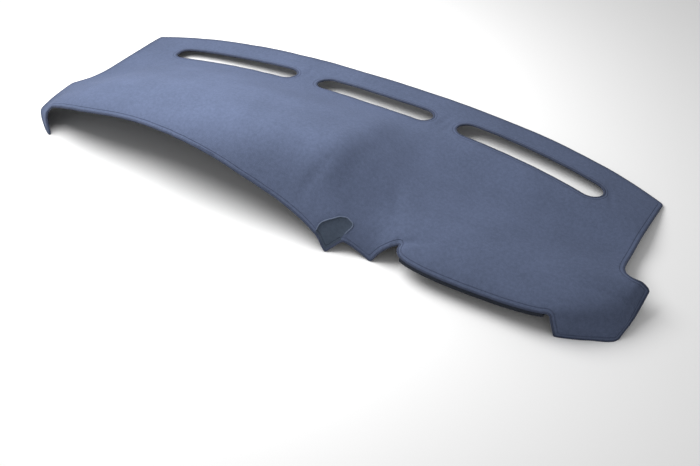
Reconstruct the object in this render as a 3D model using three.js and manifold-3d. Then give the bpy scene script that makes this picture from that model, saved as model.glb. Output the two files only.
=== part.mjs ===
// Dashboard cover mat: one moulded sheet of carpet, as it lies on a flat floor. Millimetres, +Z up.
// X runs from the left end to the right end, +Y points to the windscreen and -Y to the cabin.

import * as THREE from 'three';
import * as BufferGeometryUtils from 'three/addons/utils/BufferGeometryUtils.js';
import Module from 'manifold-3d';

const wasm = await Module();
wasm.setup();

// Driving dimensions of the sheet and of its windscreen edge
const SHEET_THICKNESS = 4.5;
const WINDSCREEN_WIDTH = 1300;
const WINDSCREEN_BOW = 87.4; // how far the middle of this edge lies ahead of its corners
const BOW_SQUARENESS = 0.62; // 0 is a plain parabola, 1 a flatter curve of the fourth degree
const EDGE_CROWN = 26; // how far the middle of this edge stands above its corners
const LEDGE_SLOPE = 0.15; // rise of the vent ledge for each millimetre of its depth
const LEDGE_DEPTH = 140;

// The three slots over the defroster vents, in the vent ledge
const SLOT_WIDTH = 57.5;
const SLOT_SETBACK = 100.7; // from the windscreen edge to the slots' centre line
const SLOT_SPANS = [
  [-565.5, -225],
  [-161, 139],
  [202.7, 566.8],
];

// Stations of the loft, from the left end to the right end. Each is one line of the sheet from the
// windscreen edge to the foot: rear is its x at that edge, middle is [share of the way from the ledge
// to the crest, height], crest and shoulder are [distance back from the foot, height], and foot is its
// [x, y] at floor level.
const STATIONS = [
  { rear: -672, middle: [0.5, 10], crest: [90, 10], shoulder: [30, 5], foot: [-704, -462] },
  { rear: -642, middle: [0.5, 24], crest: [90, 28], shoulder: [20, 17], foot: [-662, -496] },
  { rear: -590, middle: [0.5, 39], crest: [95, 61], shoulder: [12, 52], foot: [-604, -532] },
  { rear: -480, middle: [0.5, 76], crest: [125, 112], shoulder: [40, 97], foot: [-490, -560] },
  { rear: -350, middle: [0.5, 102], crest: [135, 143], shoulder: [50, 122], foot: [-350, -570] },
  { rear: -220, middle: [0.5, 112], crest: [135, 154], shoulder: [50, 131], foot: [-220, -572] },
  { rear: -100, middle: [0.5, 113], crest: [135, 155], shoulder: [54, 112], foot: [-95, -570] },
  { rear: 0, middle: [0.5, 110], crest: [140, 149], shoulder: [50, 84], foot: [0, -564] },
  { rear: 70, middle: [0.5, 104], crest: [140, 141], shoulder: [44, 64], foot: [75, -556] },
  { rear: 130, middle: [0.48, 78], crest: [135, 111], shoulder: [32, 55], foot: [120, -539] },
  { rear: 195, middle: [0.44, 46], crest: [120, 69], shoulder: [26, 41], foot: [205, -517] },
  { rear: 300, middle: [0.38, 26], crest: [110, 54], shoulder: [25, 42], foot: [300, -538] },
  { rear: 420, middle: [0.36, 20], crest: [110, 53], shoulder: [25, 38], foot: [430, -542] },
  { rear: 530, middle: [0.36, 18], crest: [100, 57], shoulder: [12, 48], foot: [566, -518] },
  { rear: 600, middle: [0.4, 20], crest: [95, 54], shoulder: [22, 41], foot: [630, -492] },
  { rear: 642, middle: [0.45, 25], crest: [105, 51], shoulder: [40, 35], foot: [666, -473] },
  { rear: 660, middle: [0.45, 28], crest: [100, 49], shoulder: [60, 34], foot: [684, -438] },
  { rear: 684, middle: [0.45, 30], crest: [100, 47], shoulder: [70, 32], foot: [716, -400] },
];

// Spacing of the loft's columns and the number of its rows between two control points
const COLUMN_SPACING = 20;
const ROWS_PER_SPAN = [1, 6, 6, 6, 5, 3, 1];
const TRIM_MARGIN = 14; // the raw sheet reaches this far past the outline that trims it

// The floor, below the top of the windscreen corners by the sheet that lies flat there
const FLOOR = -SHEET_THICKNESS;

// Plan outline of the two sides, from the windscreen corner to the foot
const RIGHT_SIDE = [[650, -87], [643, -174], [636, -259], [632, -330], [637, -357], [650, -370],
  [666, -370], [681, -364], [688, -366], [684, -405], [680, -433], [674, -456], [662, -500]];
const LEFT_SIDE = [[-650, -87], [-639, -160], [-631, -228], [-632, -302], [-638, -345], [-651, -362],
  [-677, -375], [-688, -470], [-688, -500]];

// Front elevation of the trimmed edge at the cabin side, as [x, z], from the left end to the right
const FRONT_EDGE = [[-606, FLOOR], [-608, 46], [-605, 56], [-597, 63], [-547, 83], [-463, 103], [-402, 115],
  [-363, 121], [-297, 129], [-228, 131], [-160, 120], [-95, 103], [-18, 78], [35, 59], [65, 47], [85, 36],
  [98, 27], [119, FLOOR], [148, 23], [207, FLOOR], [221, 20], [236, 34], [254, 42], [259, 36], [270, 33],
  [311, 33], [359, 32], [448, 32], [535, 39], [550, 42], [555, 40], [571, FLOOR]];

const MAT_COLOUR = 0x6d7891;

// Plan curve of the windscreen edge, its height, and the point at a distance inward from it
function edgeY(x) {
  const t = x / (WINDSCREEN_WIDTH / 2);
  return -WINDSCREEN_BOW * (t * t * (1 - BOW_SQUARENESS) + BOW_SQUARENESS * t ** 4);
}

function edgeHeight(x) {
  const t = x / (WINDSCREEN_WIDTH / 2);
  return EDGE_CROWN * (1 - t * t);
}

function inward(x, distance) {
  const slope = (edgeY(x + 1) - edgeY(x - 1)) / 2;
  const length = Math.hypot(slope, 1);
  return new THREE.Vector2(x + (slope * distance) / length, edgeY(x) - distance / length);
}

// Control points of one station: past the windscreen edge, at it, at the ledge's end, at the middle,
// at the crest, at the shoulder, and below the foot
function controlPoints(station) {
  const rear = new THREE.Vector2(station.rear, edgeY(station.rear));
  const foot = new THREE.Vector2(...station.foot);
  const length = rear.distanceTo(foot);
  const at = (distance, height) => {
    const p = rear.clone().lerp(foot, distance / length);
    return new THREE.Vector3(p.x, p.y, height);
  };
  const start = edgeHeight(station.rear);
  return [
    at(-TRIM_MARGIN, start - LEDGE_SLOPE * TRIM_MARGIN),
    at(0, start),
    at(LEDGE_DEPTH, Math.max(start, 0) + LEDGE_SLOPE * LEDGE_DEPTH),
    at(THREE.MathUtils.lerp(LEDGE_DEPTH, length - station.crest[0], station.middle[0]), station.middle[1]),
    at(length - station.crest[0], station.crest[1]),
    at(length - station.shoulder[0], station.shoulder[1]),
    at(length, 0),
    at(length + TRIM_MARGIN / 4, -TRIM_MARGIN),
  ];
}

// The loft's grid: guide curves across the stations, then one curve along each column
function sheetGrid() {
  const stations = STATIONS.map(controlPoints);
  const guides = stations[0].map((_, row) =>
    new THREE.CatmullRomCurve3(stations.map((points) => points[row]), false, 'centripetal'));
  const spans = STATIONS.length - 1;
  const columns = [];
  for (let span = 0; span < spans; span++) {
    const width = STATIONS[span + 1].rear - STATIONS[span].rear;
    const steps = Math.ceil(width / COLUMN_SPACING);
    for (let i = 0; i < steps + (span === spans - 1 ? 1 : 0); i++) {
      columns.push((span + i / steps) / spans);
    }
  }
  return columns.map((t) => {
    const controls = guides.map((guide) => guide.getPoint(t));
    const line = new THREE.CatmullRomCurve3(controls, false, 'centripetal');
    const points = [line.getPoint(0)];
    ROWS_PER_SPAN.forEach((rows, span) => {
      for (let i = 1; i <= rows; i++) {
        points.push(line.getPoint((span + i / rows) / ROWS_PER_SPAN.length));
      }
    });
    return points;
  });
}

// Normals of a grid of points, from the differences between neighbours
function gridNormals(grid) {
  return grid.map((column, i) => column.map((_, j) => {
    const across = grid[Math.min(i + 1, grid.length - 1)][j].clone().sub(grid[Math.max(i - 1, 0)][j]);
    const along = column[Math.min(j + 1, column.length - 1)].clone().sub(column[Math.max(j - 1, 0)]);
    return along.cross(across).normalize();
  }));
}

// A closed solid between the grid and the same grid moved in by the sheet's thickness
function thickSheet(grid) {
  const normals = gridNormals(grid);
  const rows = grid[0].length;
  const positions = [];
  for (const depth of [0, SHEET_THICKNESS]) {
    grid.forEach((column, i) => column.forEach((point, j) => {
      positions.push(...point.clone().addScaledVector(normals[i][j], -depth).toArray());
    }));
  }
  const layer = grid.length * rows;
  const at = (side, i, j) => side * layer + i * rows + j;
  const indices = [];
  const quad = (a, b, c, d) => indices.push(a, b, c, a, c, d);
  for (let i = 0; i < grid.length - 1; i++) {
    for (let j = 0; j < rows - 1; j++) {
      quad(at(0, i, j), at(0, i, j + 1), at(0, i + 1, j + 1), at(0, i + 1, j));
      quad(at(1, i, j), at(1, i + 1, j), at(1, i + 1, j + 1), at(1, i, j + 1));
    }
    quad(at(0, i, 0), at(0, i + 1, 0), at(1, i + 1, 0), at(1, i, 0));
    quad(at(0, i + 1, rows - 1), at(0, i, rows - 1), at(1, i, rows - 1), at(1, i + 1, rows - 1));
  }
  for (let j = 0; j < rows - 1; j++) {
    quad(at(0, 0, j + 1), at(0, 0, j), at(1, 0, j), at(1, 0, j + 1));
    const last = grid.length - 1;
    quad(at(0, last, j), at(0, last, j + 1), at(1, last, j + 1), at(1, last, j));
  }
  const geometry = new THREE.BufferGeometry();
  geometry.setAttribute('position', new THREE.Float32BufferAttribute(positions, 3));
  geometry.setIndex(indices);
  return geometry;
}

function toManifold(geometry) {
  const bare = geometry.clone();
  bare.deleteAttribute('normal');
  bare.deleteAttribute('uv');
  const merged = BufferGeometryUtils.mergeVertices(bare, 1e-4);
  return new wasm.Manifold(new wasm.Mesh({
    numProp: 3,
    vertProperties: new Float32Array(merged.attributes.position.array),
    triVerts: new Uint32Array(merged.index.array),
  }));
}

function toGeometry(manifold) {
  const mesh = manifold.getMesh();
  const geometry = new THREE.BufferGeometry();
  geometry.setAttribute('position', new THREE.Float32BufferAttribute(mesh.vertProperties, 3));
  geometry.setIndex(new THREE.Uint32BufferAttribute(mesh.triVerts, 1));
  return geometry;
}

// A prism over an outline of [x, y] points, standing from bottom to top
function planPrism(outline, bottom, top) {
  const shape = new THREE.Shape(outline.map(([x, y]) => new THREE.Vector2(x, y)));
  const geometry = new THREE.ExtrudeGeometry(shape, { depth: top - bottom, bevelEnabled: false });
  geometry.translate(0, 0, bottom);
  return toManifold(geometry);
}

// A prism over an outline of [x, z] points, running back from near to far
function frontPrism(outline, near, far) {
  const shape = new THREE.Shape(outline.map(([x, z]) => new THREE.Vector2(x, z)));
  const geometry = new THREE.ExtrudeGeometry(shape, { depth: far - near, bevelEnabled: false });
  geometry.rotateX(Math.PI / 2);
  geometry.translate(0, far, 0);
  return toManifold(geometry);
}

// Plan outline of the whole mat: the bowed windscreen edge and both sides, open far out at the front
function planOutline() {
  const half = WINDSCREEN_WIDTH / 2;
  const edge = [];
  const steps = 36;
  for (let i = 1; i < steps; i++) {
    const x = -half + (WINDSCREEN_WIDTH * i) / steps;
    edge.push([x, edgeY(x)]);
  }
  return [...LEFT_SIDE.slice().reverse(), ...edge, ...RIGHT_SIDE, [662, -620], [-688, -620]];
}

// Outline of a slot: two long sides that follow the windscreen edge, closed by half circles
function slotOutline([left, right]) {
  const radius = SLOT_WIDTH / 2;
  const from = left + radius;
  const to = right - radius;
  const steps = 14;
  const side = (distance) => Array.from({ length: steps + 1 }, (_, i) =>
    inward(from + ((to - from) * i) / steps, distance));
  const end = (x, start) => {
    const centre = inward(x, SLOT_SETBACK);
    const tilt = Math.atan2(edgeY(x + 1) - edgeY(x - 1), 2);
    return Array.from({ length: 7 }, (_, i) => {
      const angle = start + tilt + (Math.PI * (i + 1)) / 8;
      return new THREE.Vector2(centre.x + radius * Math.cos(angle), centre.y + radius * Math.sin(angle));
    });
  };
  const near = side(SLOT_SETBACK + radius);
  const far = side(SLOT_SETBACK - radius).reverse();
  const outline = [...near, ...end(to, -Math.PI / 2), ...far, ...end(from, Math.PI / 2)];
  return outline.map((p) => [p.x, p.y]);
}

// What the front trim takes away: all below the front edge line, ahead of the crest
function frontWaste() {
  return frontPrism([[-606, -60], ...FRONT_EDGE, [571, -60]], -700, -440);
}

function buildMat() {
  let mat = toManifold(thickSheet(sheetGrid()));
  mat = mat.intersect(planPrism(planOutline(), FLOOR, 400));
  mat = mat.subtract(frontWaste());
  for (const span of SLOT_SPANS) {
    mat = mat.subtract(planPrism(slotOutline(span), -10, 300));
  }
  return toGeometry(mat);
}

// The part's own frame: the middle of the mat's footprint, on the floor
function centreOnFloor(geometry) {
  geometry.computeBoundingBox();
  const { min, max } = geometry.boundingBox;
  return geometry.translate(-(min.x + max.x) / 2, -(min.y + max.y) / 2, -min.z);
}

const mat = new THREE.Mesh(
  centreOnFloor(buildMat()),
  new THREE.MeshStandardMaterial({ color: MAT_COLOUR, roughness: 0.95, metalness: 0 }),
);
mat.name = 'cover_mat';
const dashMat = new THREE.Group();
dashMat.add(mat);

export default dashMat;
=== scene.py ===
"""Dashboard cover mat of moulded short-pile carpet: one bent sheet with overlocked edges, lying on a floor.

The sheet is the loft that the CAD part is made by, worked out again here at a fine pitch, cut to its
outlines, and given its dents, wrinkles, backing, edge thread, seams and pile. Lengths are in millimetres
up to the moment when a mesh is made, and in metres from there.
"""
import math

import bpy
import numpy as np
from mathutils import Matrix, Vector


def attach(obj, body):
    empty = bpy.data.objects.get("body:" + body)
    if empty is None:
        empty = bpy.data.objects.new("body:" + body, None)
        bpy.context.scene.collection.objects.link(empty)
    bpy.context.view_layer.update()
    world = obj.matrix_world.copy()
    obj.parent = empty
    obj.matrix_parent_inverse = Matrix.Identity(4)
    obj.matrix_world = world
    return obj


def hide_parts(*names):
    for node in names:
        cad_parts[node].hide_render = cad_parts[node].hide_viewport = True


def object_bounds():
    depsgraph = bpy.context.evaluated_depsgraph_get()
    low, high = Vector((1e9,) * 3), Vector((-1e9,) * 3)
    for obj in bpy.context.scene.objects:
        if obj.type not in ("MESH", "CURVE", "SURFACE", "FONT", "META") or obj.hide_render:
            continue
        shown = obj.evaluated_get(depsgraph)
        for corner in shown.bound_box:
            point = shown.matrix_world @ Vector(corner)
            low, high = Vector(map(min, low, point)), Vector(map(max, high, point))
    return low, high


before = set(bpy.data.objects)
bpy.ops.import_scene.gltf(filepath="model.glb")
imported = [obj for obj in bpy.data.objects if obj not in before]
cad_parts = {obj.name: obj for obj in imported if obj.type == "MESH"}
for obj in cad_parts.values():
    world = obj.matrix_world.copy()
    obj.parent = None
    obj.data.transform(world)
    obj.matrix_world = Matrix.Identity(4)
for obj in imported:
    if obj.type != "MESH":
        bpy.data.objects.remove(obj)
CAD_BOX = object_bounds()
MM = 0.001

# Sizes of the sheet, as in the part
SHEET_THICKNESS = 4.5
WINDSCREEN_WIDTH = 1300.0
WINDSCREEN_BOW = 87.4
BOW_SQUARENESS = 0.62
EDGE_CROWN = 26.0
LEDGE_SLOPE = 0.15
LEDGE_DEPTH = 140.0
SLOT_WIDTH = 57.5
SLOT_SETBACK = 100.7
SLOT_SPANS = [(-565.5, -225.0), (-161.0, 139.0), (202.7, 566.8)]
TRIM_MARGIN = 14.0
FLOOR = -SHEET_THICKNESS

# Stations of the loft, left to right: x at the windscreen edge, (share of the way from ledge to
# crest, height) of the middle, crest and shoulder as (distance back from the foot, height), and the
# foot's (x, y) at floor level
STATIONS = [
    (-672, (0.5, 10), (90, 10), (30, 5), (-704, -462)),
    (-642, (0.5, 24), (90, 28), (20, 17), (-662, -496)),
    (-590, (0.5, 39), (95, 61), (12, 52), (-604, -532)),
    (-480, (0.5, 76), (125, 112), (40, 97), (-490, -560)),
    (-350, (0.5, 102), (135, 143), (50, 122), (-350, -570)),
    (-220, (0.5, 112), (135, 154), (50, 131), (-220, -572)),
    (-100, (0.5, 113), (135, 155), (54, 112), (-95, -570)),
    (0, (0.5, 110), (140, 149), (50, 84), (0, -564)),
    (70, (0.5, 104), (140, 141), (44, 64), (75, -556)),
    (130, (0.48, 78), (135, 111), (32, 55), (120, -539)),
    (195, (0.44, 46), (120, 69), (26, 41), (205, -517)),
    (300, (0.38, 26), (110, 54), (25, 42), (300, -538)),
    (420, (0.36, 20), (110, 53), (25, 38), (430, -542)),
    (530, (0.36, 18), (100, 57), (12, 48), (566, -518)),
    (600, (0.4, 20), (95, 54), (22, 41), (630, -492)),
    (642, (0.45, 25), (105, 51), (40, 35), (666, -473)),
    (660, (0.45, 28), (100, 49), (60, 34), (684, -438)),
    (684, (0.45, 30), (100, 47), (70, 32), (716, -400)),
]

# Outlines that trim the sheet: the two sides in plan as (x, y), the cabin edge from the front as (x, z)
RIGHT_SIDE = [(650, -87), (643, -174), (636, -259), (632, -330), (637, -357), (650, -370),
              (666, -370), (681, -364), (688, -366), (684, -405), (680, -433), (674, -456), (662, -500)]
LEFT_SIDE = [(-650, -87), (-639, -160), (-631, -228), (-632, -302), (-638, -345), (-651, -362),
             (-677, -375), (-688, -470), (-688, -500)]
FRONT_EDGE = [(-606, FLOOR), (-608, 46), (-605, 56), (-597, 63), (-547, 83), (-463, 103), (-402, 115),
              (-363, 121), (-297, 129), (-228, 131), (-160, 120), (-95, 103), (-18, 78), (35, 59), (65, 47),
              (85, 36), (98, 27), (119, FLOOR), (148, 23), (207, FLOOR), (221, 20), (236, 34), (254, 42),
              (259, 36), (270, 33), (311, 33), (359, 32), (448, 32), (535, 39), (550, 42), (555, 40),
              (571, FLOOR)]

# The cabin edge is cut only where y is less than FRONT_ZONE. The outlines are closed by points well
# past the sheet, and their corners are rounded unless they turn by more than SHARP_TURN.
FRONT_ZONE = -440.0
PAST_THE_FRONT = -620
BELOW_THE_FLOOR = -80
SHARP_TURN = math.radians(48)
SAME_PLACE = 1e-6
OUTLINE_PASSES = 2
WINDSCREEN_POINTS = 73
SLOT_SIDE_POINTS = 40
SLOT_END_POINTS = 16

# Pitch of the fine grid: the width of a column, and the rows between each pair of control points
COLUMN_PITCH = 4.6
ROWS_PER_SPAN = [4, 30, 34, 30, 26, 14, 3]

# Swell of the cloth: seed, number of waves, shortest and longest wave, and height
SWELLS = [(7, 9, 90, 260, 1.5), (11, 9, 35, 80, 0.5)]

# Shallow dents and creases of the cloth: centre in plan, half sizes, turn in degrees, depth
DENTS = [
    ((-204, -72), (9, 34), 8, 3.0),
    ((-182, -88), (8, 26), 10, 2.4),
    ((162, -98), (9, 36), -8, 3.0),
    ((182, -112), (8, 28), -6, 2.4),
    ((329, -121), (26, 5), 20, 1.6),
    ((556, -150), (5, 34), 18, 1.8),
    ((-545, -150), (30, 12), 10, 1.6),
    ((-470, -210), (60, 14), -12, 1.5),
    ((-560, -300), (12, 50), 25, 1.6),
    ((247, -492), (6, 24), -30, 3.2),
    ((262, -486), (6, 30), -46, 3.4),
    ((277, -482), (6, 28), -60, 2.8),
    ((290, -478), (6, 22), -72, 1.8),
    ((628, -430), (60, 7), 12, 1.6),
    ((215, -430), (12, 46), 28, 1.6),
    ((60, -470), (10, 44), -20, 1.6),
]

# The half-round panel let in at the hood's right end, whose darker pile is painted shade of its recessed
# face: its arched seam from the front as (x, z), the points below that close its outline, how deep it lies,
# and the part of the seam with a welt
PANEL_ARCH = [(95, 30), (96, 35), (97, 42), (99, 47), (106, 52), (119, 57), (130, 60), (141, 59), (149, 55),
              (157, 51), (158, 47), (154, 41), (148, 34), (144, 27), (145, 22)]
PANEL_FOOT = [(150, -40), (60, -40), (60, 22)]
PANEL_RECESS = 2.2
PANEL_SLOPE = (-1, 7)
WELT_ARCH = PANEL_ARCH[1:13]
WELT_RADIUS = 1.2
WELT_LIFT = 0.45
WELT_PITCH = 1.2

# The cloth without its edge, and the overlock thread: an oval of OVAL_POWER 1 is an ellipse, and a
# smaller one is squarer. The thread's middle lies BINDING_OVERHANG short of half its width inward.
CLOTH_THICKNESS = 3.4
BINDING_WIDTH = 4.8
BINDING_THICKNESS = 0.6
BINDING_OVERHANG = 1.4
BINDING_SIDES = 12
BINDING_SMOOTHING = 1.6
OVAL_POWER = 0.6
STITCH_PITCH = 3.2
STITCH_STEPS = 4
STITCH_RELIEF = 0.28

# The hem's seam line, darkened with painted shade of its groove, and the rolled hem under the shelf's front
# edge between two values of x
HEM_DISTANCE = 8.0
HEM_SEAM_WIDTH = 1.6
HEM_SEAM_DEPTH = 3.0
SEAM_PAINTED_SHADE = (0.72, 0.72, 0.74)
FAR_FROM_EDGE = 60.0
POINTS_AT_ONCE = 1000
ROLL_RADIUS = 4.6
ROLL_SPAN = (263.0, 547.0)
ROLL_LOWEST = 20
ROLL_PITCH = 2.5

# Round cords, the welt and the roll: sides, smoothing, and the share of the radius left at an end
CORD_SIDES = 14
CORD_SMOOTHING_PASSES = 4
SMALLEST_SHARE = 0.02
NEAREST_POINTS = 4

# Camera of the photograph: what it looks at on the floor, its angles, distance and lens
LOOK_AT = (138.4, -473.9, 0.0)
CAMERA_AZIMUTH = 29.71
CAMERA_ELEVATION = 44.61
CAMERA_DISTANCE = 1567.6
SENSOR_WIDTH = 36.0
LENS = SENSOR_WIDTH * 800 / 700

# Studio, in metres: the floor's half width and tone, the sky's strength, and the softbox
FLOOR_REACH = 40.0
FLOOR_TONE = 0.95
SKY_STRENGTH = 0.42
SOFTBOX_SIZE = 1.1
SOFTBOX_POWER = 18.5
SOFTBOX_PLACE = (-0.48, -0.08, 0.92)
SOFTBOX_AIM = (-0.25, -0.08, 0.1)

# From the sheet's own drawing to the frame: the mat's footprint is centred, and its floor is z = 0
TO_FRAME = np.array([0.0, CAD_BOX[1][1] / MM, -FLOOR])


def centripetal(points, at):
    """Smooth curves through points[n, k, 3], one for each k, at the parameters at[m] from 0 to 1.

    It is the centripetal Catmull-Rom curve: each span is a cubic whose end slopes come from the
    neighbouring points, spaced by the square root of their distances.
    """
    spans = len(points) - 1
    padded = np.concatenate([[2 * points[0] - points[1]], points, [2 * points[-1] - points[-2]]])
    place = np.clip(at, 0, 1) * spans
    index = np.minimum(place.astype(int), spans - 1)
    weight = (place - index)[:, None, None]
    a, b, c, d = (padded[index + i] for i in range(4))
    gap = [np.sqrt(np.linalg.norm(q - p, axis=2, keepdims=True)) for p, q in ((a, b), (b, c), (c, d))]
    before, middle, after = gap
    start = ((b - a) / before - (c - a) / (before + middle) + (c - b) / middle) * middle
    end = ((c - b) / middle - (d - b) / (middle + after) + (d - c) / after) * middle
    cubic = 2 * b - 2 * c + start + end
    square = -3 * b + 3 * c - 2 * start - end
    return b + weight * (start + weight * (square + weight * cubic))


def edge_y(x):
    """The windscreen edge in plan: a mix of a parabola and a curve of the fourth degree."""
    t = x / (WINDSCREEN_WIDTH / 2)
    return -WINDSCREEN_BOW * (t**2 * (1 - BOW_SQUARENESS) + BOW_SQUARENESS * t**4)


def edge_height(x):
    """The windscreen edge from the front: a parabola that crowns in the middle."""
    return EDGE_CROWN * (1 - (x / (WINDSCREEN_WIDTH / 2)) ** 2)


def inward(x, distance):
    """Points at a distance from the windscreen edge, square to it, toward the cabin."""
    slope = (edge_y(x + 1) - edge_y(x - 1)) / 2
    length = np.hypot(slope, 1)
    return np.stack([x + slope * distance / length, edge_y(x) - distance / length], -1)


def control_points(station):
    """The eight points of one station, on a straight line in plan from windscreen edge to foot."""
    x, middle, crest, shoulder, foot = station
    rear = np.array([x, edge_y(x)])
    foot = np.array(foot, float)
    length = np.linalg.norm(foot - rear)
    start = edge_height(x)
    rows = [
        (-TRIM_MARGIN, start - LEDGE_SLOPE * TRIM_MARGIN),
        (0, start),
        (LEDGE_DEPTH, max(start, 0) + LEDGE_SLOPE * LEDGE_DEPTH),
        (LEDGE_DEPTH + middle[0] * (length - crest[0] - LEDGE_DEPTH), middle[1]),
        (length - crest[0], crest[1]),
        (length - shoulder[0], shoulder[1]),
        (length, 0),
        (length + TRIM_MARGIN / 4, -TRIM_MARGIN),
    ]
    return [[*(rear + (foot - rear) * distance / length), height] for distance, height in rows]


def sheet_surface():
    """The loft's fine grid: guide curves across the stations, then one curve along each column."""
    stations = np.array([control_points(s) for s in STATIONS], float)
    widths = np.diff(stations[:, 1, 0])
    steps = np.ceil(widths / COLUMN_PITCH).astype(int)
    spans = len(steps)
    across = np.concatenate([(i + np.arange(n) / n) / spans for i, n in enumerate(steps)] + [[1.0]])
    guides = centripetal(stations, across)
    along = np.concatenate(
        [(i + np.arange(n) / n) / len(ROWS_PER_SPAN) for i, n in enumerate(ROWS_PER_SPAN)] + [[1.0]])
    return centripetal(guides.transpose(1, 0, 2), along).transpose(1, 0, 2)


def normals_of(grid):
    """Outward normals of a grid, from the cross product of its slopes along and across."""
    normals = np.cross(np.gradient(grid, axis=1), np.gradient(grid, axis=0))
    return normals / np.linalg.norm(normals, axis=2, keepdims=True)


def bump(grid, centre, size, turn):
    """A smooth hill of height 1 in plan round a centre, of the given half sizes, turned by an angle."""
    c, s = math.cos(turn), math.sin(turn)
    dx, dy = grid[..., 0] - centre[0], grid[..., 1] - centre[1]
    u, v = (dx * c + dy * s) / size[0], (dy * c - dx * s) / size[1]
    return np.exp(-(u**2 + v**2))


def soft_waves(grid, seed, count, shortest, longest):
    """Slow uneven swell of the cloth: the mean of sine waves with seeded directions and lengths."""
    rng = np.random.default_rng(seed)
    angle = rng.uniform(0, math.pi, count)[:, None, None]
    wavelength = rng.uniform(shortest, longest, count)[:, None, None]
    phase = rng.uniform(0, 2 * math.pi, count)[:, None, None]
    travel = grid[None, ..., 0] * np.cos(angle) + grid[None, ..., 1] * np.sin(angle)
    return np.sin(2 * math.pi * travel / wavelength + phase).mean(axis=0)


def smooth_step(low, high, value):
    """0 below low, 1 above high, and a smooth rise of the third degree between."""
    t = np.clip((value - low) / (high - low), 0, 1)
    return t * t * (3 - 2 * t)


def relief(grid):
    """How far the cloth stands out of the plain loft: swell, less dents, less the recessed panel."""
    height = sum(swell * soft_waves(grid, *waves) for *waves, swell in SWELLS)
    for centre, size, turn, depth in DENTS:
        height = height - depth * bump(grid, centre, size, math.radians(turn))
    inside = smooth_step(*PANEL_SLOPE, panel_depth(grid.reshape(-1, 3))).reshape(grid.shape[:2])
    return height - PANEL_RECESS * inside


def panel_depth(points):
    """How far each point lies inside the half-round panel, in the view from the front."""
    depth = signed_distance(points[:, [0, 2]], PANEL_ARCH + PANEL_FOOT)
    return np.where(points[:, 1] < FRONT_ZONE, depth, -FAR_FROM_EDGE)


def signed_distance(points, outline):
    """Distance of points[n, 2] to a closed outline, positive inside.

    It is the least distance to the outline's segments, and the sign comes from counting crossings.
    """
    a = np.array(outline, float)
    b = np.roll(a, -1, axis=0)
    step = b - a
    best = np.full(len(points), np.inf)
    crossings = np.zeros(len(points), int)
    for start, move in zip(a, step):
        offset = points - start
        share = np.clip((offset @ move) / (move @ move), 0, 1)
        best = np.minimum(best, np.hypot(*(offset - share[:, None] * move).T))
        above = (start[1] > points[:, 1]) != (start[1] + move[1] > points[:, 1])
        rise = np.where(move[1] == 0, 1e-9, move[1])
        crossings += above & (offset[:, 0] < move[0] * (points[:, 1] - start[1]) / rise)
    return np.where(crossings % 2 == 1, best, -best)


def rounded(outline, passes):
    """An open line with its blunt corners cut smooth: each pass puts points at 1/4 and 3/4 of its sides.

    A corner that turns by more than SHARP_TURN is doubled before each pass, which keeps it sharp.
    """
    points = np.array(outline, float)
    for _ in range(passes):
        ahead = np.roll(points, -1, axis=0) - points
        behind = points - np.roll(points, 1, axis=0)
        turn = np.arctan2(ahead[:, 1], ahead[:, 0]) - np.arctan2(behind[:, 1], behind[:, 0])
        turn = np.abs((turn + math.pi) % (2 * math.pi) - math.pi)
        still = np.linalg.norm(ahead, axis=1) + np.linalg.norm(behind, axis=1) < SAME_PLACE
        points = np.repeat(points, np.where((turn > SHARP_TURN) & ~still, 2, 1), axis=0)
        after = np.roll(points, -1, axis=0)
        cut = np.stack([0.75 * points + 0.25 * after, 0.25 * points + 0.75 * after], 1).reshape(-1, 2)
        points = np.concatenate([points[:1], cut[1:-2], points[-1:]])
        moved = np.linalg.norm(np.diff(points, axis=0), axis=1) > SAME_PLACE
        points = points[np.concatenate([[True], moved])]
    return points


def plan_outline():
    """The mat's outline in plan, open far out at the front."""
    half = WINDSCREEN_WIDTH / 2
    x = np.linspace(-half, half, WINDSCREEN_POINTS)[1:-1]
    edge = np.stack([x, edge_y(x)], 1)
    left = rounded(LEFT_SIDE[::-1], OUTLINE_PASSES)
    right = rounded(RIGHT_SIDE, OUTLINE_PASSES)
    front = [(RIGHT_SIDE[-1][0], PAST_THE_FRONT), (LEFT_SIDE[-1][0], PAST_THE_FRONT)]
    return np.concatenate([left, edge, right, front])


def slot_outline(left, right):
    """A slot in plan: two sides that follow the windscreen edge, closed by half circles."""
    radius = SLOT_WIDTH / 2
    x = np.linspace(left + radius, right - radius, SLOT_SIDE_POINTS)
    turn = np.linspace(0, math.pi, SLOT_END_POINTS)[1:-1]

    def end(at, start):
        tilt = math.atan2(edge_y(at + 1) - edge_y(at - 1), 2)
        angle = start + tilt + turn
        return inward(at, SLOT_SETBACK) + radius * np.stack([np.cos(angle), np.sin(angle)], 1)

    near = inward(x, SLOT_SETBACK + radius)
    far = inward(x, SLOT_SETBACK - radius)[::-1]
    return np.concatenate([near, end(x[-1], -math.pi / 2), far, end(x[0], math.pi / 2)])


def keep_depth(points):
    """How far each point lies inside what the outlines keep, negative where they cut it away."""
    plan = points[:, :2]
    depth = np.minimum(signed_distance(plan, plan_outline()), points[:, 2] - FLOOR)
    for left, right in SLOT_SPANS:
        depth = np.minimum(depth, -signed_distance(plan, slot_outline(left, right)))
    first, last = FRONT_EDGE[0][0], FRONT_EDGE[-1][0]
    waste = np.concatenate([[(first, BELOW_THE_FLOOR)], rounded(FRONT_EDGE, 1), [(last, BELOW_THE_FLOOR)]])
    ahead = points[:, 1] < FRONT_ZONE
    cut = -signed_distance(points[ahead][:, [0, 2]], waste)
    depth[ahead] = np.minimum(depth[ahead], cut)
    return depth


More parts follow.
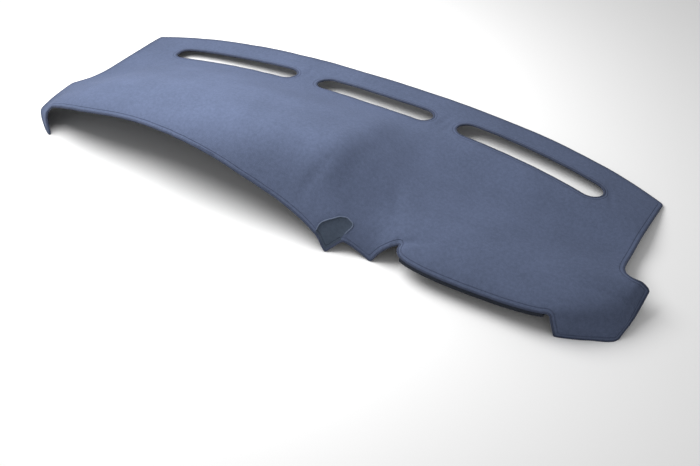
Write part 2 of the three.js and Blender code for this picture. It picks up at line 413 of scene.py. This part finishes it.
def split(values, faces, depth):
    """A triangle mesh cut along depth zero: new values and faces, and which faces lie above it.

    A triangle that the cut crosses becomes three: one at the corner that lies alone on its side, and
    two on the other side. Values on the cut are mixed in step with the depth along the crossed edge.
    """
    keep = depth > 0
    count = keep[faces].sum(axis=1)
    mixed = faces[(count == 1) | (count == 2)]
    alone = keep[mixed].sum(axis=1) == 1
    odd = np.where(alone[:, None], keep[mixed], ~keep[mixed])
    first = odd.argmax(axis=1)
    rows = np.arange(len(mixed))
    a, b, c = (mixed[rows, (first + i) % 3] for i in range(3))
    pairs = np.sort(np.concatenate([np.stack([a, b], 1), np.stack([a, c], 1)]), axis=1)
    unique, where = np.unique(pairs, axis=0, return_inverse=True)
    ab, ac = np.split(where.reshape(-1) + len(values), 2)
    low, high = depth[unique[:, 0]], depth[unique[:, 1]]
    share = (low / (low - high))[:, None]
    values = np.concatenate([values, values[unique[:, 0]] * (1 - share) + values[unique[:, 1]] * share])
    corner = np.stack([a, ab, ac], 1)
    rest = np.concatenate([np.stack([ab, b, c], 1), np.stack([ab, c, ac], 1)])
    faces = np.concatenate([faces[count == 3], faces[count == 0], corner, rest])
    above = np.concatenate([np.ones((count == 3).sum(), bool), np.zeros((count == 0).sum(), bool),
                            alone, ~alone, ~alone])
    return values, faces, above


def compact(values, faces):
    """The same mesh without the rows that no face uses."""
    used, faces = np.unique(faces, return_inverse=True)
    return values[used], faces.reshape(-1, 3)


def border_loops(faces, count):
    """The borders of a triangle mesh as ordered loops of vertex numbers.

    A border edge belongs to one triangle. Each vertex points to the next, and the loop is read by
    jumps of 1, 2, 4, 8 and so on vertices at once.
    """
    edges = np.concatenate([faces[:, [0, 1]], faces[:, [1, 2]], faces[:, [2, 0]]])
    key = np.sort(edges, axis=1)
    _, first, times = np.unique(key, axis=0, return_index=True, return_counts=True)
    border = edges[first[times == 1]]
    following = np.full(count, -1)
    following[border[:, 0]] = border[:, 1]
    jumps = [following]
    while 2 ** len(jumps) <= len(border):
        jumps.append(jumps[-1][jumps[-1]])
    left = set(border[:, 0].tolist())
    loops = []
    while left:
        start = min(left)
        steps = np.arange(len(border))
        walk = np.full(len(border), start)
        for bit, jump in enumerate(jumps):
            walk = np.where((steps >> bit) & 1, jump[walk], walk)
        again = np.flatnonzero(walk[1:] == start)
        loop = walk[: again[0] + 1] if len(again) else walk
        loops.append(loop)
        left -= set(loop.tolist())
    return sorted(loops, key=len, reverse=True)


def edge_distance(points, depth, border):
    """Distance of each point to the nearest border point, worked out only where it can be short."""
    distance = np.full(len(points), FAR_FROM_EDGE)
    near = np.flatnonzero(depth < 3 * HEM_DISTANCE)
    for some in np.array_split(near, 1 + len(near) // POINTS_AT_ONCE):
        gap = points[some][:, None, :] - border[None, :, :]
        distance[some] = np.sqrt((gap**2).sum(axis=2).min(axis=1))
    return distance


def new_mesh(name, points, faces, materials, slots=None, edge=None):
    """A smooth-shaded object at the origin from points in millimetres and faces of 3 or 4 corners.

    The edge values, one for each point, are its distance in millimetres to the sheet's cut edge.
    """
    mesh = bpy.data.meshes.new(name)
    mesh.from_pydata(((points + TO_FRAME) * MM).tolist(), [], faces)
    for material in materials:
        mesh.materials.append(material)
    mesh.polygons.foreach_set("use_smooth", np.ones(len(mesh.polygons), bool))
    if slots is not None:
        mesh.polygons.foreach_set("material_index", slots)
    if edge is not None:
        mesh.attributes.new("edge_distance", "FLOAT", "POINT").data.foreach_set("value", edge)
    mesh.update()
    piece = bpy.data.objects.new(name, mesh)
    bpy.context.scene.collection.objects.link(piece)
    return piece


def sewn_piece(name, points, faces, material):
    """A piece that is sewn to the sheet, so it rides with the sheet's body and has its slot."""
    piece = new_mesh(name, points, faces, [material])
    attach(piece, "root")
    return piece


def even_loop(points, normals, pitch, softness):
    """A closed loop and its normals at an even pitch, smoothed over a short length."""
    closed = np.concatenate([points, points[:1]])
    travel = np.concatenate([[0], np.cumsum(np.linalg.norm(np.diff(closed, axis=0), axis=1))])
    count = int(round(travel[-1] / pitch))
    at = np.arange(count) * travel[-1] / count
    ends = np.concatenate([normals, normals[:1]])
    line = np.stack([np.interp(at, travel, closed[:, i]) for i in range(3)], 1)
    lean = np.stack([np.interp(at, travel, ends[:, i]) for i in range(3)], 1)
    reach = int(3 * softness / pitch)
    kernel = np.exp(-0.5 * (np.arange(-reach, reach + 1) * pitch / softness) ** 2)
    kernel /= kernel.sum()
    smooth = [sum(k * np.roll(v, i - reach, axis=0) for i, k in enumerate(kernel)) for v in (line, lean)]
    return smooth[0], smooth[1] / np.linalg.norm(smooth[1], axis=1, keepdims=True)


def binding(name, points, normals, material):
    """The overlock thread round one edge: an oval carried along the edge, ridged by its stitches.

    The oval wraps the cloth's edge. Its ridges are a rectified sine along the edge, which leans
    with the angle round the oval as the thread does.
    """
    line, lean = even_loop(points, normals, STITCH_PITCH / STITCH_STEPS, BINDING_SMOOTHING)
    forward = np.roll(line, -1, axis=0) - np.roll(line, 1, axis=0)
    forward /= np.linalg.norm(forward, axis=1, keepdims=True)
    outward = np.cross(forward, lean)
    outward /= np.linalg.norm(outward, axis=1, keepdims=True)
    upward = np.cross(outward, forward)
    angle = np.linspace(0, 2 * math.pi, BINDING_SIDES, endpoint=False)
    half_width = BINDING_WIDTH / 2
    half_height = CLOTH_THICKNESS / 2 + BINDING_THICKNESS
    wide = np.sign(np.cos(angle)) * np.abs(np.cos(angle)) ** OVAL_POWER * half_width
    high = np.sign(np.sin(angle)) * np.abs(np.sin(angle)) ** OVAL_POWER * half_height
    stitch = np.arange(len(line))[:, None] / STITCH_STEPS
    ridge = STITCH_RELIEF * (np.abs(np.sin(math.pi * (stitch + angle / (2 * math.pi)))) - 0.5)
    size = np.hypot(wide, high)
    centre = line - upward * (CLOTH_THICKNESS / 2) - outward * (half_width - BINDING_OVERHANG)
    rings = (centre[:, None]
             + outward[:, None] * (wide * (1 + ridge / size))[..., None]
             + upward[:, None] * (high * (1 + ridge / size))[..., None])
    rings[..., 2] = np.maximum(rings[..., 2], FLOOR)
    number = np.arange(rings.shape[0] * rings.shape[1]).reshape(rings.shape[:2])
    ahead, around = np.roll(number, -1, axis=0), np.roll(number, -1, axis=1)
    both = np.roll(ahead, -1, axis=1)
    quads = np.stack([number, ahead, both, around], -1).reshape(-1, 4)
    return sewn_piece(name, rings.reshape(-1, 3), quads.tolist(), material)


def cord(name, line, radius, pitch, material):
    """A round cord along a line, with its ends rounded off: the radius falls there as on a ball."""
    travel = np.concatenate([[0], np.cumsum(np.linalg.norm(np.diff(line, axis=0), axis=1))])
    length = travel[-1]
    at = np.linspace(0, length, int(length / pitch) + 2)
    soft = np.stack([np.interp(at, travel, line[:, i]) for i in range(3)], 1)
    for _ in range(CORD_SMOOTHING_PASSES):
        soft[1:-1] = (soft[:-2] + 2 * soft[1:-1] + soft[2:]) / 4
    forward = np.gradient(soft, axis=0)
    forward /= np.linalg.norm(forward, axis=1, keepdims=True)
    outward = np.cross(forward, (0.0, 0.0, 1.0))
    outward /= np.linalg.norm(outward, axis=1, keepdims=True)
    upward = np.cross(outward, forward)
    near_end = np.clip(np.minimum(at, length - at) / radius, SMALLEST_SHARE, 1)
    size = radius * np.sqrt(1 - (1 - near_end) ** 2)
    angle = np.linspace(0, 2 * math.pi, CORD_SIDES, endpoint=False)
    rings = (soft[:, None] + outward[:, None] * (np.cos(angle) * size[:, None])[..., None]
             + upward[:, None] * (np.sin(angle) * size[:, None])[..., None])
    number = np.arange(len(rings) * CORD_SIDES).reshape(-1, CORD_SIDES)
    a, b = number[:-1], number[1:]
    quads = np.stack([a, b, np.roll(b, -1, axis=1), np.roll(a, -1, axis=1)], -1).reshape(-1, 4)
    caps = [number[0].tolist(), number[-1][::-1].tolist()]
    return sewn_piece(name, rings.reshape(-1, 3), quads.tolist() + caps, material)


def node(tree, kind, place, **values):
    """A node of a tree at a place on its sheet, with its properties and named inputs set."""
    made = tree.nodes.new(kind)
    made.location = place
    for name, value in values.items():
        if hasattr(made, name):
            setattr(made, name, value)
        else:
            made.inputs[name.replace("_", " ")].default_value = value
    return made


def pile_group():
    """Short cut pile: fine tufts, threads of a lighter tone, and slow patches where it is brushed."""
    tree = bpy.data.node_groups.new("short_pile", "ShaderNodeTree")
    face = tree.interface
    face.new_socket("Vector", in_out="INPUT", socket_type="NodeSocketVector")
    face.new_socket("Dark", in_out="INPUT", socket_type="NodeSocketColor")
    face.new_socket("Light", in_out="INPUT", socket_type="NodeSocketColor")
    face.new_socket("Tuft Scale", in_out="INPUT", socket_type="NodeSocketFloat").default_value = 900.0
    face.new_socket("Nap", in_out="INPUT", socket_type="NodeSocketFloat").default_value = 0.5
    face.new_socket("Color", in_out="OUTPUT", socket_type="NodeSocketColor")
    face.new_socket("Height", in_out="OUTPUT", socket_type="NodeSocketFloat")
    face.new_socket("Roughness", in_out="OUTPUT", socket_type="NodeSocketFloat")
    start = node(tree, "NodeGroupInput", (-1000, 0))
    end = node(tree, "NodeGroupOutput", (800, 0))
    tufts = node(tree, "ShaderNodeTexNoise", (-700, 200), Detail=3.0, Roughness=0.6)
    clumps = node(tree, "ShaderNodeTexNoise", (-700, -50), Scale=160.0, Detail=4.0, Roughness=0.6)
    brushed = node(tree, "ShaderNodeTexNoise", (-700, -300), Scale=9.0, Detail=3.0, Roughness=0.5)
    for texture in (tufts, clumps, brushed):
        tree.links.new(start.outputs["Vector"], texture.inputs["Vector"])
    tree.links.new(start.outputs["Tuft Scale"], tufts.inputs["Scale"])
    fine = node(tree, "ShaderNodeMapRange", (-450, 200), From_Min=0.3, From_Max=0.7)
    tree.links.new(tufts.outputs["Fac"], fine.inputs["Value"])
    coarse = node(tree, "ShaderNodeMapRange", (-450, -50), From_Min=0.35, From_Max=0.65)
    tree.links.new(clumps.outputs["Fac"], coarse.inputs["Value"])
    slow = node(tree, "ShaderNodeMapRange", (-450, -300), From_Min=0.35, From_Max=0.65)
    tree.links.new(brushed.outputs["Fac"], slow.inputs["Value"])
    patch = node(tree, "ShaderNodeMath", (-200, -300), operation="MULTIPLY")
    tree.links.new(slow.outputs["Result"], patch.inputs[0])
    tree.links.new(start.outputs["Nap"], patch.inputs[1])
    mixed = node(tree, "ShaderNodeMix", (-200, 0), data_type="FLOAT")
    mixed.inputs[0].default_value = 0.35
    tree.links.new(fine.outputs["Result"], mixed.inputs[2])
    tree.links.new(coarse.outputs["Result"], mixed.inputs[3])
    tone = node(tree, "ShaderNodeMath", (50, -100), operation="MULTIPLY_ADD", use_clamp=True)
    tree.links.new(mixed.outputs[0], tone.inputs[0])
    tone.inputs[1].default_value = 0.6
    tree.links.new(patch.outputs[0], tone.inputs[2])
    colour = node(tree, "ShaderNodeMix", (300, 100), data_type="RGBA")
    tree.links.new(tone.outputs[0], colour.inputs[0])
    tree.links.new(start.outputs["Dark"], colour.inputs[6])
    tree.links.new(start.outputs["Light"], colour.inputs[7])
    tree.links.new(colour.outputs[2], end.inputs["Color"])
    tree.links.new(mixed.outputs[0], end.inputs["Height"])
    rough = node(tree, "ShaderNodeMapRange", (300, -200))
    rough.inputs["To Min"].default_value = 0.98
    rough.inputs["To Max"].default_value = 0.85
    tree.links.new(mixed.outputs[0], rough.inputs["Value"])
    tree.links.new(rough.outputs["Result"], end.inputs["Roughness"])
    return tree


def hem_group():
    """The hem's seam: a mask that is 1 on a line at a set distance from the cut edge, and falls off. It
    lays painted shade along the seam's groove and sinks its bump.
    """
    tree = bpy.data.node_groups.new("hem_seam", "ShaderNodeTree")
    face = tree.interface
    face.new_socket("Distance", in_out="INPUT", socket_type="NodeSocketFloat")
    face.new_socket("Mask", in_out="OUTPUT", socket_type="NodeSocketFloat")
    start = node(tree, "NodeGroupInput", (-600, 0))
    end = node(tree, "NodeGroupOutput", (400, 0))
    offset = node(tree, "ShaderNodeMath", (-400, 0), operation="SUBTRACT")
    offset.inputs[1].default_value = HEM_DISTANCE
    tree.links.new(start.outputs["Distance"], offset.inputs[0])
    size = node(tree, "ShaderNodeMath", (-200, 0), operation="ABSOLUTE")
    tree.links.new(offset.outputs[0], size.inputs[0])
    fall = node(tree, "ShaderNodeMapRange", (0, 0), interpolation_type="SMOOTHSTEP")
    fall.inputs["From Min"].default_value = HEM_SEAM_WIDTH
    fall.inputs["From Max"].default_value = 0.0
    tree.links.new(size.outputs[0], fall.inputs["Value"])
    tree.links.new(fall.outputs["Result"], end.inputs["Mask"])
    return tree


def cloth_material(name, pile_tree, dark, light, tuft_scale, nap, bump_height, sheen, hem_tree=None):
    """A cloth finish: the pile group on object coordinates, with a soft sheen and, if asked, the seam,
    darkened with painted shade of its groove and sunk by a bump.
    """
    material = bpy.data.materials.new(name)
    material.use_nodes = True
    tree = material.node_tree
    tree.nodes.clear()
    output = node(tree, "ShaderNodeOutputMaterial", (600, 0))
    shader = node(tree, "ShaderNodeBsdfPrincipled", (300, 0))
    shader.inputs["Sheen Weight"].default_value = sheen
    shader.inputs["Sheen Roughness"].default_value = 0.45
    shader.inputs["Sheen Tint"].default_value = (*light[:3], 1.0)
    shader.inputs["Specular IOR Level"].default_value = 0.12
    place = node(tree, "ShaderNodeTexCoord", (-700, 0))
    pile = node(tree, "ShaderNodeGroup", (-450, 0))
    pile.node_tree = pile_tree
    pile.inputs["Dark"].default_value = (*dark, 1.0)
    pile.inputs["Light"].default_value = (*light, 1.0)
    pile.inputs["Tuft Scale"].default_value = tuft_scale
    pile.inputs["Nap"].default_value = nap
    raised = node(tree, "ShaderNodeBump", (50, -250), Strength=0.6)
    raised.inputs["Distance"].default_value = bump_height * MM
    tree.links.new(place.outputs["Object"], pile.inputs["Vector"])
    colour, height = pile.outputs["Color"], pile.outputs["Height"]
    if hem_tree:
        distance = node(tree, "ShaderNodeAttribute", (-700, -300), attribute_name="edge_distance")
        seam = node(tree, "ShaderNodeGroup", (-450, -300))
        seam.node_tree = hem_tree
        tree.links.new(distance.outputs["Fac"], seam.inputs["Distance"])
        # Painted shade: the colour is darkened along the seam line where its groove would lie in shade.
        shade = node(tree, "ShaderNodeMix", (-150, 100), data_type="RGBA", blend_type="MULTIPLY")
        shade.inputs[7].default_value = (*SEAM_PAINTED_SHADE, 1.0)
        tree.links.new(seam.outputs["Mask"], shade.inputs[0])
        tree.links.new(colour, shade.inputs[6])
        sunk = node(tree, "ShaderNodeMath", (-150, -250), operation="MULTIPLY_ADD")
        sunk.inputs[1].default_value = -HEM_SEAM_DEPTH
        tree.links.new(seam.outputs["Mask"], sunk.inputs[0])
        tree.links.new(height, sunk.inputs[2])
        colour, height = shade.outputs[2], sunk.outputs[0]
    tree.links.new(colour, shader.inputs["Base Color"])
    tree.links.new(pile.outputs["Roughness"], shader.inputs["Roughness"])
    tree.links.new(height, raised.inputs["Height"])
    tree.links.new(raised.outputs["Normal"], shader.inputs["Normal"])
    tree.links.new(shader.outputs["BSDF"], output.inputs["Surface"])
    return material


def linear(red, green, blue):
    """A screen colour of 0 to 255 as linear light."""
    value = np.array([red, green, blue]) / 255
    return tuple(np.where(value < 0.04045, value / 12.92, ((value + 0.055) / 1.055) ** 2.4).tolist())


def on_sheet(across, height, points, lean):
    """Points on the sheet's front seen at x and z: the mean of the nearest few, by nearness."""
    front = points[:, 1] < FRONT_ZONE
    points, lean = points[front], lean[front]
    gap = np.hypot(points[None, :, 0] - across[:, None], points[None, :, 2] - height[:, None])
    nearest = np.argpartition(gap, NEAREST_POINTS, axis=1)[:, :NEAREST_POINTS]
    weight = 1 / (np.take_along_axis(gap, nearest, 1) + 0.5)
    weight = (weight / weight.sum(axis=1, keepdims=True))[..., None]
    return (points[nearest] * weight).sum(axis=1), (lean[nearest] * weight).sum(axis=1)


def panel_welt(points, lean, material):
    """The cord in the arched seam of the half-round panel, half sunk in the cloth."""
    arch = rounded(WELT_ARCH, OUTLINE_PASSES)
    spot, outward = on_sheet(arch[:, 0], arch[:, 1], points, lean)
    line = spot + outward * (WELT_RADIUS * WELT_LIFT)
    return cord("panel_welt", line, WELT_RADIUS, WELT_PITCH, material)


def shelf_roll(points, lean, loop, material):
    """The rolled hem under the passenger shelf's front edge, with rounded ends; the dark backing finish it
    is given is painted shade.
    """
    x, y, z = points[loop].T
    wanted = loop[(x > ROLL_SPAN[0]) & (x < ROLL_SPAN[1]) & (y < FRONT_ZONE) & (z > ROLL_LOWEST)]
    wanted = wanted[np.argsort(points[wanted, 0])]
    line = points[wanted] - lean[wanted] * (CLOTH_THICKNESS / 2) - np.array([0, 0, ROLL_RADIUS])
    return cord("shelf_roll", line, ROLL_RADIUS, ROLL_PITCH, material)


def build_mat():
    """The sheet of carpet, its sewn details and the thread round its edges, for the plain CAD sheet."""
    pile_tree, hem_tree = pile_group(), hem_group()
    carpet = cloth_material("blue_grey_pile", pile_tree, linear(71, 80, 100), linear(101, 112, 141),
                            tuft_scale=900.0, nap=0.16, bump_height=0.5, sheen=0.35, hem_tree=hem_tree)
    # Painted shade: the half-round panel's pile is darker to stand for the shade on its recessed face.
    painted_shade_panel = cloth_material("panel_painted_shade_pile", pile_tree, linear(60, 69, 82), linear(80, 90, 106),
                           tuft_scale=900.0, nap=0.1, bump_height=0.5, sheen=0.2, hem_tree=hem_tree)
    # The dark backing felt is the sheet's underside and cut faces; on the shelf's rolled hem it is painted
    # shade.
    backing_and_roll_shade = cloth_material("backing_felt_and_painted_roll_shade", pile_tree, linear(30, 33, 40), linear(50, 54, 64),
                             tuft_scale=420.0, nap=0.25, bump_height=0.6, sheen=0.1)
    thread = cloth_material("edge_thread", pile_tree, linear(54, 60, 77), linear(80, 88, 110),
                            tuft_scale=1500.0, nap=0.15, bump_height=0.25, sheen=0.2)
    piping = cloth_material("welt_cord", pile_tree, linear(84, 94, 112), linear(112, 122, 144),
                            tuft_scale=1500.0, nap=0.15, bump_height=0.25, sheen=0.25)
    grid = sheet_surface()
    grid = grid + normals_of(grid) * relief(grid)[..., None]
    number = np.arange(grid.shape[0] * grid.shape[1]).reshape(grid.shape[:2])
    a, b = number[:-1, :-1].ravel(), number[:-1, 1:].ravel()
    c, d = number[1:, 1:].ravel(), number[1:, :-1].ravel()
    faces = np.concatenate([np.stack([a, b, c], 1), np.stack([a, c, d], 1)])
    points, lean = grid.reshape(-1, 3), normals_of(grid).reshape(-1, 3)
    depth = keep_depth(points)
    values, faces, kept = split(np.column_stack([points, lean, depth]), faces, depth)
    values, faces = compact(values, faces[kept])
    values, faces, in_panel = split(values, faces, panel_depth(values[:, :3]))
    values, faces = compact(values, faces)
    points, lean, depth = values[:, :3], values[:, 3:6], values[:, 6]
    lean = lean / np.linalg.norm(lean, axis=1, keepdims=True)
    loops = border_loops(faces, len(points))
    count = len(points)
    walls = [np.stack([loop, loop + count, np.roll(loop, -1) + count, np.roll(loop, -1)], 1)
             for loop in loops]
    sides = np.concatenate(walls)
    all_points = np.concatenate([points, points - lean * CLOTH_THICKNESS])
    all_faces = faces.tolist() + (faces[:, ::-1] + count).tolist() + sides.tolist()
    # Slot 2 gives the panel's faces the darker pile, which is painted shade.
    slots = np.concatenate([np.where(in_panel, 2, 0), np.ones(len(faces) + len(sides), int)])
    edge = edge_distance(points, depth, np.concatenate([points[loop] for loop in loops]))
    mat = new_mesh("carpet_sheet", all_points, all_faces, [carpet, backing_and_roll_shade, painted_shade_panel], slots,
                   np.concatenate([edge, edge]))
    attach(mat, "root")
    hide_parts("cover_mat")
    names = ["outer_edge_thread", "right_slot_thread", "left_slot_thread", "middle_slot_thread"]
    sewn = [binding(name, points[loop], lean[loop], thread) for name, loop in zip(names, loops)]
    sewn.append(panel_welt(points, lean, piping))
    # Painted shade: the roll under the shelf's edge takes the dark backing felt.
    sewn.append(shelf_roll(points, lean, loops[0], backing_and_roll_shade))


def build_studio():
    """A pale floor, a soft sky, and one soft light close above the mat's left end."""
    mesh = bpy.data.meshes.new("studio_floor")
    corners = [(x * FLOOR_REACH, y * FLOOR_REACH, 0) for x, y in ((-1, -1), (1, -1), (1, 1), (-1, 1))]
    mesh.from_pydata(corners, [], [(0, 1, 2, 3)])
    floor = bpy.data.objects.new("studio_floor", mesh)
    bpy.context.scene.collection.objects.link(floor)
    material = bpy.data.materials.new("pale_floor")
    material.use_nodes = True
    shader = material.node_tree.nodes["Principled BSDF"]
    shader.inputs["Base Color"].default_value = (FLOOR_TONE, FLOOR_TONE, FLOOR_TONE, 1)
    shader.inputs["Roughness"].default_value = 0.7
    mesh.materials.append(material)
    world = bpy.data.worlds.new("studio")
    bpy.context.scene.world = world
    world.use_nodes = True
    sky = world.node_tree.nodes["Background"]
    sky.inputs["Color"].default_value = (1.0, 1.0, 1.0, 1)
    sky.inputs["Strength"].default_value = SKY_STRENGTH
    light = bpy.data.lights.new("softbox", "AREA")
    light.shape = "DISK"
    light.size = SOFTBOX_SIZE
    light.energy = SOFTBOX_POWER
    lamp = bpy.data.objects.new("softbox", light)
    lamp.location = SOFTBOX_PLACE
    aim = Vector(SOFTBOX_AIM) - lamp.location
    lamp.rotation_euler = aim.to_track_quat("-Z", "Y").to_euler()
    bpy.context.scene.collection.objects.link(lamp)
    bpy.context.scene.view_settings.view_transform = "Standard"


def build_camera():
    """The camera at the photograph's angle, found by fitting the mat's outline in perspective."""
    azimuth, elevation = math.radians(CAMERA_AZIMUTH), math.radians(CAMERA_ELEVATION)
    back = np.array([math.sin(azimuth) * math.cos(elevation),
                     -math.cos(azimuth) * math.cos(elevation),
                     math.sin(elevation)])
    place = (np.array(LOOK_AT) + back * CAMERA_DISTANCE + TO_FRAME) * MM
    data = bpy.data.cameras.new("camera")
    data.sensor_width = SENSOR_WIDTH
    data.lens = LENS
    camera = bpy.data.objects.new("camera", data)
    camera.location = place.tolist()
    camera.rotation_euler = Vector((-back).tolist()).to_track_quat("-Z", "Y").to_euler()
    bpy.context.scene.collection.objects.link(camera)
    bpy.context.scene.camera = camera


build_camera()
build_studio()
build_mat()
